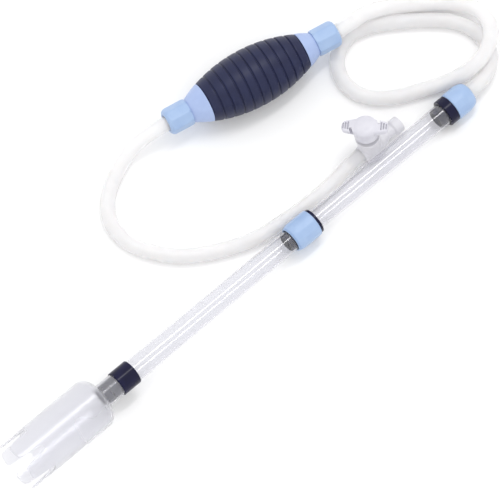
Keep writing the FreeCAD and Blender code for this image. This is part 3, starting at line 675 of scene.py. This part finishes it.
top_point = on_wand(WAND_END, 0.0, 0.0)
from_hose_end = placed_on(top_point, 0.0, -wand_ahead)
dome = np.linspace(0, np.pi / 2, 16)
top_nut = turned("top_nut_blue", np.concatenate([
    [(5.0, 8.7), (1.2, 8.75), (0.45, 8.95), (0.1, 9.4)],
    np.column_stack([13.0 * (1 - np.cos(dome)), 10.2 + (NUT_R - 10.2) * np.sin(dome)]),
    np.column_stack([np.linspace(14.0, 24.2, 6), np.full(6, NUT_R)]),
    outline([(25.6, NUT_R, 0.9), (25.6, 12.9, 0.2), (22.0, 12.75, 0.2)])[:14],
    [(21.0, 12.75), (15.0, 12.75), (12.0, 11.8), (6.0, 10.2)],
]), from_hose_end, blue_pp, "top_nut", columns=NUT_ROUND, shape=faceted(12, NUT_R - 0.38, 11.0, 13.5))
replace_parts(top_nut, "top_nut")


# --- Bulb rubber ----------------------------------------------------------------------------------
# The squeeze bulb is moulded in navy rubber: eleven raised bands on an arched profile, with a narrow
# groove between every two. Each band is its own ring of wall.

BULB_LENGTH = 203.6
BULB_R = 31.4
BULB_ARC_R = 158.0
BULB_MIDDLE = 101.0
RUBBER_START = 46.0
RUBBER_END = 162.0
RUBBER_WALL = 3.2
BANDS = 11
GROOVE_DEPTH = 1.4
OUTLET_KNOWN = 13.0        # station of the outlet nut's turning point
bulb_ahead = -np.array(JOINTS["outlet_nut_turn"]["axis"])
on_bulb = placed_on(JOINTS["outlet_nut_turn"]["pos_m"], OUTLET_KNOWN, bulb_ahead)


def rubber_radius(station):
    """Outer radius of the arched profile: a circle's arc with its top at the bulb's middle."""
    return BULB_R - BULB_ARC_R + np.sqrt(BULB_ARC_R ** 2 - (station - BULB_MIDDLE) ** 2)


# Navy rubber: satin from a blasted mould, paler where the light grazes it, with a fine pebbled skin.
navy_rubber, shader = new_material("navy_rubber")
place = add(navy_rubber, "ShaderNodeTexCoord").outputs["Object"]
bloom = add(navy_rubber, "ShaderNodeTexNoise", {
    "Vector": place, "Scale": 90.0, "Detail": 4.0, "Roughness": 0.6,
}).outputs[0]
pebble = add(navy_rubber, "ShaderNodeTexNoise", {
    "Vector": place, "Scale": 1400.0, "Detail": 2.0,
}).outputs[0]
shade = add(navy_rubber, "ShaderNodeValToRGB", {"Fac": bloom})
shade.color_ramp.elements[0].position = 0.3
shade.color_ramp.elements[0].color = linear("#0f1539")
shade.color_ramp.elements[1].position = 0.7
shade.color_ramp.elements[1].color = linear("#161d42")
set_inputs(navy_rubber, shader, {
    "Base Color": shade.outputs[0], "IOR": 1.42,
    "Roughness": add(navy_rubber, "ShaderNodeMapRange", {
        "Value": bloom, "To Min": 0.38, "To Max": 0.50,
    }).outputs[0],
    "Normal": add(navy_rubber, "ShaderNodeBump", {
        "Height": pebble, "Strength": 0.22, "Distance": 0.0001,
    }).outputs[0],
})


def band_outline(start, end):
    """One band: the arched profile with rounded shoulders that drop into the grooves, and the bulb's inner
    wall one rubber's thickness below it."""
    drop = GROOVE_DEPTH * np.array([1.0, 0.95, 0.62, 0.28, 0.07, 0.0])
    inset = np.array([0.0, 0.45, 0.68, 0.95, 1.4, 2.1])
    across = np.linspace(start + 3.0, end - 3.0, 5)
    left = np.column_stack([start + inset, rubber_radius(start + inset) - drop])
    right = np.column_stack([end - inset, rubber_radius(end - inset) - drop])[::-1]
    middle = np.column_stack([across, rubber_radius(across)])
    inner = np.linspace(end, start, 5)
    inside = np.column_stack([inner, rubber_radius(inner) - RUBBER_WALL])
    return np.concatenate([left, middle, right, inside])


BULB_ROUND = 160           # columns round the bulb and its caps
band_width = (RUBBER_END - RUBBER_START) / BANDS
for band in range(BANDS):
    start = RUBBER_START + band * band_width
    line = band_outline(start, start + band_width)
    ring = turned(f"bulb_band_{band + 1:02d}", line, on_bulb, navy_rubber, columns=BULB_ROUND)
    tuple(on_bulb(start, 0.0, 0.0))
    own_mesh(ring)
    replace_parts(ring, "bulb_rubber")


# --- Bulb caps and nuts ---------------------------------------------------------------------------
# A periwinkle cap closes each end of the bulb. It holds a check valve, flares from a threaded neck up
# to the rubber, and takes the hose on a barb under an eight-sided light blue nut.

# Periwinkle ABS: one shade more violet than the nuts, satin, with an even fine grain.
periwinkle_abs = moulded("periwinkle_abs", "#a2b4da", "#9aacd4", 0.42, relief=0.15)

CAP_LAP = 6.0
CAP_CAVITY_R = 14.2
BULB_THREAD_R = 11.9
BULB_NUT_LENGTH = 26.5
BULB_NUT_FLAT_R = 13.7
from_inlet_end = placed_on(on_bulb(BULB_LENGTH, 0.0, 0.0), 0.0, -bulb_ahead)


def cap_flare(start, start_r, middle, end, end_r):
    """The cap's flared outside: a quadratic curve from the neck to the rubber that passes through a middle
    point halfway along."""
    share = np.linspace(0, 1, 15)[:, None]
    first, mid, last = np.array([start, start_r]), np.array(middle), np.array([end, end_r])
    pull = 2 * mid - (first + last) / 2
    return (1 - share) ** 2 * first + 2 * share * (1 - share) * pull + share ** 2 * last


def bulb_cap(name, place, end, joint_r, middle):
    """Cap drawn from its nut's outer end: barb, gap for the hose, threaded neck, bead, flare, lap under the
    rubber and the valve's cavity."""
    neck = BULB_THREAD_R - THREAD_DEPTH
    lap_r = joint_r - RUBBER_WALL - 0.15
    line = np.concatenate([
        outline(
            barb_corners(4.0, 22.5) + [(22.5, 9.2, 0.2), (13.0, 9.2, 0.2), (13.0, BULB_THREAD_R, 0.2)]
            + thread_rows(13.3, 24.0, BULB_THREAD_R) + [(24.6, neck, 0.2), (26.8, neck, 0.1)]
            + [(26.8, 12.6, 0.3)]
        ),
        cap_flare(27.3, 12.95, middle, end - 0.4, joint_r - 0.15),
        [(end - 0.1, joint_r - 0.2), (end, joint_r - 0.5), (end, lap_r), (end + CAP_LAP, lap_r)],
        [(end + CAP_LAP, CAP_CAVITY_R), (33.0, CAP_CAVITY_R), (29.6, 11.2)],
        [(29.6, BARB_BORE_R), (4.0, BARB_BORE_R)],
    ])
    screw = thread(13.2, 24.3, BULB_THREAD_R)
    made = turned(name, line, place, periwinkle_abs, columns=BULB_ROUND, shape=screw)
    return made


outlet_cap = bulb_cap("outlet_cap_periwinkle", on_bulb, RUBBER_START,
                      float(rubber_radius(RUBBER_START)), (37.9, 18.3))
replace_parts(outlet_cap, "outlet_cap")
inlet_cap = bulb_cap("inlet_cap_periwinkle", from_inlet_end, BULB_LENGTH - RUBBER_END,
                     float(rubber_radius(RUBBER_END)), (35.4, 17.1))
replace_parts(inlet_cap, "inlet_cap")


def bulb_nut(name, place, body):
    """Eight-sided nut with a rounded hose end; the flats run to the edge and the end is domed."""
    corner_r = BULB_NUT_FLAT_R / math.cos(math.pi / 8)
    rise = np.linspace(0, np.pi / 2, 10)
    line = np.concatenate([
        [(5.0, 8.7), (1.2, 8.75), (0.4, 8.95), (0.1, 9.4)],
        np.column_stack([6.5 * (1 - np.cos(rise)), 10.4 + (corner_r - 10.4) * np.sin(rise)]),
        np.column_stack([np.linspace(7.5, BULB_NUT_LENGTH - 1.6, 10), np.full(10, corner_r)]),
        outline([(BULB_NUT_LENGTH, corner_r, 1.1), (BULB_NUT_LENGTH, 12.2, 0.2), (23.0, 12.05, 0.2)])[:14],
        [(22.0, 12.05), (13.0, 12.05), (11.8, 11.5), (6.0, 10.2)],
    ])
    flats = faceted(8, BULB_NUT_FLAT_R, -1.0, 12.5)
    made = turned(name, line, place, blue_pp, body, columns=NUT_ROUND, shape=flats)
    return made


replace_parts(bulb_nut("outlet_nut_blue", on_bulb, "outlet_nut"), "outlet_nut")
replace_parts(bulb_nut("inlet_nut_blue", from_inlet_end, "inlet_nut"), "inlet_nut")


# --- Tap body and bonnet --------------------------------------------------------------------------
# A grey stopcock body in one moulding: an upright barrel, a barbed inlet that the hose pushes onto and
# a waisted spout with a round end. A flared bonnet is pressed onto the barrel under the handle.

# Mid grey ABS with an even satin face.
grey_abs = moulded("mid_grey_abs", "#d8d7dc", "#d0cfd5", 0.40, relief=0.15)
# Pale grey ABS, a little glossier from handling.
pale_grey_abs = moulded("pale_grey_abs", "#d1d0d8", "#c9c8d1", 0.34, relief=0.10)

BARREL_R = 12.0
BARREL_BOTTOM = -11.0
BARREL_TOP = 16.0
BONNET_R = 13.0
BONNET_TOP = 22.0
SPOUT_END = 41.0
SPOUT_R = 8.7
TAP_SEES_OPEN = -48.0      # degrees of the handle from the waterway, as it stands
stem = unit(JOINTS["tap_turn"]["axis"])
tap_point = np.array(JOINTS["tap_turn"]["pos_m"])


def on_tap(turn_degrees):
    """Gives a function that places (forward, sideways, up the stem) in mm, turned about the stem."""
    forward = np.array([1.0, 0.0, 0.0])
    sideways = np.cross(stem, forward)
    turn = math.radians(turn_degrees)
    ahead = math.cos(turn) * forward + math.sin(turn) * sideways
    aside = np.cross(stem, ahead)

    def place(along, across, up):
        spread = np.multiply.outer
        return tap_point + MM * (spread(along, ahead) + spread(across, aside) + spread(up, stem))
    return place


def upright(place):
    """Turns a placement along the waterway into one up the stem, for pieces turned about the stem."""
    return lambda along, across, up: place(across, up, along)


def fused(name, shells, cutters, voxel_mm, smoothing, material, body="root"):
    """One moulding out of overlapping closed shells: rebuilt as a single skin, cut by the cutters, rebuilt
    again and smoothed a little, which rounds the inner corners as a moulding's are."""
    def gather(label, parts):
        mesh = bpy.data.meshes.new(label)
        starts = np.cumsum([0] + [len(points) for points, faces in parts[:-1]])
        mesh.from_pydata(
            np.concatenate([points for points, faces in parts]).tolist(), [],
            np.concatenate([faces + start for (points, faces), start in zip(parts, starts)]).tolist(),
        )
        made = bpy.data.objects.new(label, mesh)
        SCENE.collection.objects.link(made)
        return made

    rough = gather(name + "_rough", shells)
    knife = gather(name + "_knife", cutters)
    for label in ("join", "cut", "rejoin"):
        if label == "cut":
            step = rough.modifiers.new(label, "BOOLEAN")
            step.operation = "DIFFERENCE"
            step.object = knife
        else:
            step = rough.modifiers.new(label, "REMESH")
            step.mode = "VOXEL"
            step.voxel_size = voxel_mm * MM
    soften = rough.modifiers.new("soften", "SMOOTH")
    soften.factor = 0.5
    soften.iterations = smoothing
    bpy.context.view_layer.update()
    mesh = bpy.data.meshes.new_from_object(rough.evaluated_get(bpy.context.evaluated_depsgraph_get()))
    mesh.name = name
    mesh.materials.clear()
    mesh.materials.append(material)
    mesh.shade_smooth()
    for used in (rough, knife):
        bpy.data.objects.remove(used)
    made = bpy.data.objects.new(name, mesh)
    SCENE.collection.objects.link(made)
    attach(made, body)
    return made


def solid_of_revolution(line, place, columns=64):
    """Points and faces of a turned shell whose closed outline stays just off its axis."""
    line = facing_out(line)
    turn = np.arange(columns) * 2 * np.pi / columns
    points = place(
        np.repeat(line[:, :1], columns, axis=1), line[:, 1:] * np.cos(turn), line[:, 1:] * np.sin(turn),
    )
    return points.reshape(-1, 3), closed_faces(len(line), columns)


PIN = 0.02                 # mm, so small a hole that rebuilding closes it
on_body = on_tap(0.0)
barrel = solid_of_revolution(outline([
    (BARREL_BOTTOM, PIN, 0.01), (BARREL_BOTTOM, BARREL_R, 2.6),
    (BARREL_TOP, BARREL_R, 0.3), (BARREL_TOP, PIN, 0.01),
]), upright(on_body))
pipe = solid_of_revolution(outline([
    (-28.0, BARB_BORE_R, 0.2), (-28.0, BARB_R - 0.5, 0.3), (-12.5, BARB_R - 0.2, 0.2), (-12.5, 8.7, 0.6),
    (-9.5, 9.4, 1.0), (0.0, 9.4, 0.1), (0.0, PIN, 0.01), (-8.0, PIN, 0.01), (-8.0, BARB_BORE_R, 0.1),
]), on_body)
spout = solid_of_revolution(outline([
    (0.0, PIN, 0.01), (0.0, 9.4, 0.1), (10.5, 9.4, 2.0), (21.0, 6.5, 2.5), (30.0, 6.5, 0.6),
    (31.6, SPOUT_R, 0.7), (SPOUT_END, SPOUT_R, 1.2), (SPOUT_END, BARB_BORE_R, 0.7),
    (10.0, BARB_BORE_R, 0.2), (10.0, PIN, 0.01),
]), on_body)
chamber = solid_of_revolution(outline([
    (BARREL_TOP - 2.0, PIN, 0.01), (BARREL_TOP - 2.0, 8.2, 0.1),
    (BARREL_TOP + 3, 8.2, 0.1), (BARREL_TOP + 3, PIN, 0.01),
]), upright(on_body))
BODY_SKIN_MM = 0.45
tap_grey = fused("tap_body_grey", [barrel, pipe, spout], [chamber], BODY_SKIN_MM, 5, grey_abs)
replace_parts(tap_grey, "tap_body")

bonnet = turned("tap_bonnet_grey", outline([
    (BARREL_TOP, 4.6, 0.2), (BARREL_TOP, BARREL_R, 0.3), (BARREL_TOP + 3, BONNET_R, 0.8),
    (BONNET_TOP, BONNET_R, 0.9), (BONNET_TOP, 4.6, 0.2),
]), upright(on_body), grey_abs)
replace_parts(bonnet, "tap_bonnet")


# --- Tap handle -----------------------------------------------------------------------------------
# A butterfly handle in pale grey: a domed round boss pressed onto the stem and two short wings with
# rounded tips. Each wing has a curved slot at its root and three finger grooves across its top.

HANDLE_BOTTOM = 28.5
HANDLE_TOP = 46.0
HANDLE_R = 13.2
NOTCH_TURN = math.radians(30)
WING_REACH = 25.0
WING_ROWS = 22
WING_COLUMNS = 48
on_handle = on_tap(TAP_SEES_OPEN)


def wing(side):
    """A wing: its closed section, a rounded slab, carried outwards while it narrows, thins and rounds off
    at its tip as a quarter of a circle."""
    share = np.linspace(0, 1, WING_ROWS)
    reach = side * (WING_REACH * share)
    close = np.sqrt(np.clip(1 - np.clip((share - 0.86) / 0.14, 0, 1) ** 2, 0.0004, 1.0))
    half_width = (9.6 - 4.2 * share ** 1.6) * close
    half_height = (4.3 - 1.0 * share) * close
    middle = HANDLE_TOP - 5.3 - 0.6 * share ** 2
    turn = np.arange(WING_COLUMNS) * 2 * np.pi / WING_COLUMNS
    round_off = (np.abs(np.cos(turn)) ** 4 + np.abs(np.sin(turn)) ** 4) ** (-1 / 4)
    across = half_width[:, None] * np.cos(turn) * round_off
    up = middle[:, None] + half_height[:, None] * np.sin(turn) * round_off
    out = np.repeat(reach[:, None], WING_COLUMNS, axis=1)
    points = on_handle(out, across, up).reshape(-1, 3)
    strips = closed_faces(WING_ROWS, WING_COLUMNS)[:(WING_ROWS - 1) * WING_COLUMNS]
    if side < 0:
        strips = strips[:, ::-1]
    return points, strips


def capped(points, faces, rows, columns, flip):
    """The same shell with its first and last sections closed by a fan to their middles."""
    loops = points.reshape(rows, columns, 3)
    ends = np.stack([loops[0].mean(0), loops[-1].mean(0)])
    column = np.arange(columns)
    after = (column + 1) % columns
    first, last = len(points), len(points) + 1
    fan_first = np.column_stack([column, np.full(columns, first), after])
    last_row = (rows - 1) * columns
    fan_last = np.column_stack([column + last_row, after + last_row, np.full(columns, last)])
    fans = np.concatenate([fan_first, fan_last])
    fans = fans[:, ::-1] if flip else fans
    four = np.column_stack([fans, fans[:, :1]])
    return np.concatenate([points, ends]), np.concatenate([faces, four])


def bar(along, across, up, size):
    """A cutter block with its middle at that place of the handle."""
    corner = np.array([(x, y, z) for x in (-0.5, 0.5) for y in (-0.5, 0.5) for z in (-0.5, 0.5)]) * size
    points = on_handle(along + corner[:, 0], across + corner[:, 1], up + corner[:, 2])
    faces = np.array([(0, 1, 3, 2), (4, 6, 7, 5), (0, 4, 5, 1), (2, 3, 7, 6), (0, 2, 6, 4), (1, 5, 7, 3)])
    return points, faces


def curved_slot(side):
    """Cutter for the notch at a wing's root: a bar bent round the boss."""
    rows, radius, half = 13, 15.2, 1.3
    turn = np.linspace(-0.34, 0.34, rows) + NOTCH_TURN + (0 if side > 0 else np.pi)
    corner = np.array([(-1, -1), (-1, 1), (1, 1), (1, -1)])
    reach = radius + half * corner[:, 0]
    along, across = np.cos(turn)[:, None] * reach, np.sin(turn)[:, None] * reach
    up = np.repeat((HANDLE_TOP - 3.4 + 4.7 * corner[:, 1])[None], rows, axis=0)
    points = on_handle(along, across, up).reshape(-1, 3)
    faces = closed_faces(rows, 4)[:(rows - 1) * 4]
    ends = np.array([(3, 2, 1, 0), tuple((rows - 1) * 4 + at for at in (0, 1, 2, 3))])
    return points, np.concatenate([faces, ends])


boss = solid_of_revolution(outline([
    (HANDLE_BOTTOM, 10.2, 0.4), (HANDLE_BOTTOM, HANDLE_R, 0.6), (HANDLE_TOP - 2.6, HANDLE_R, 3.5),
    (HANDLE_TOP - 0.4, HANDLE_R - 4.6, 3.0), (HANDLE_TOP + 0.2, PIN, 0.01),
    (HANDLE_BOTTOM + 5.0, PIN, 0.01), (HANDLE_BOTTOM + 5.0, 10.2, 0.4),
]), upright(on_handle), 96)
hub = solid_of_revolution(outline([
    (HANDLE_BOTTOM, 4.6, 0.2), (HANDLE_BOTTOM, 6.7, 0.3),
    (HANDLE_BOTTOM + 6.0, 6.7, 0.1), (HANDLE_BOTTOM + 6.0, 4.6, 0.1),
]), upright(on_handle))
wings = [capped(*wing(side), WING_ROWS, WING_COLUMNS, side < 0) for side in (-1, 1)]
grooves = [
    bar(side * (17.4 + 2.6 * groove), 0.0, HANDLE_TOP - 1.9 - 0.3 * groove, (1.4, 9.4 - 1.6 * groove, 5.0))
    for side in (-1, 1) for groove in range(3)
]
notches = [curved_slot(side) for side in (-1, 1)]
HANDLE_SKIN_MM = 0.36
handle = fused("tap_handle_pale", [boss, hub] + wings, grooves + notches, HANDLE_SKIN_MM, 3,
               pale_grey_abs, "tap_valve")
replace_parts(handle, "tap_handle")


# --- Small inner parts ----------------------------------------------------------------------------
# What the shells hide keeps its plain turned shape: the strainer, valve seats and discs, clamp rings,
# the plug with its two seals, and the coupling's sealing ring.

white_acetal = moulded("white_acetal", "#dededf", "#d2d2d4", 0.35)
valve_silicone = moulded("grey_silicone", "#c8c9cc", "#bcbdc1", 0.50, relief=0.2)
INNER = {
    "bell_strainer": black_abs, "coupling_seal": seal_rubber, "top_ferrule": white_acetal,
    "outlet_ferrule": white_acetal, "inlet_ferrule": white_acetal, "outlet_valve_seat": white_acetal,
    "inlet_valve_seat": white_acetal, "outlet_valve_disc": valve_silicone,
    "inlet_valve_disc": valve_silicone,
    "tap_plug": white_acetal, "tap_seals": seal_rubber,
}
for name, material in INNER.items():
    mesh = frame["nodes"][name].data
    mesh.materials.clear()
    mesh.materials.append(material)
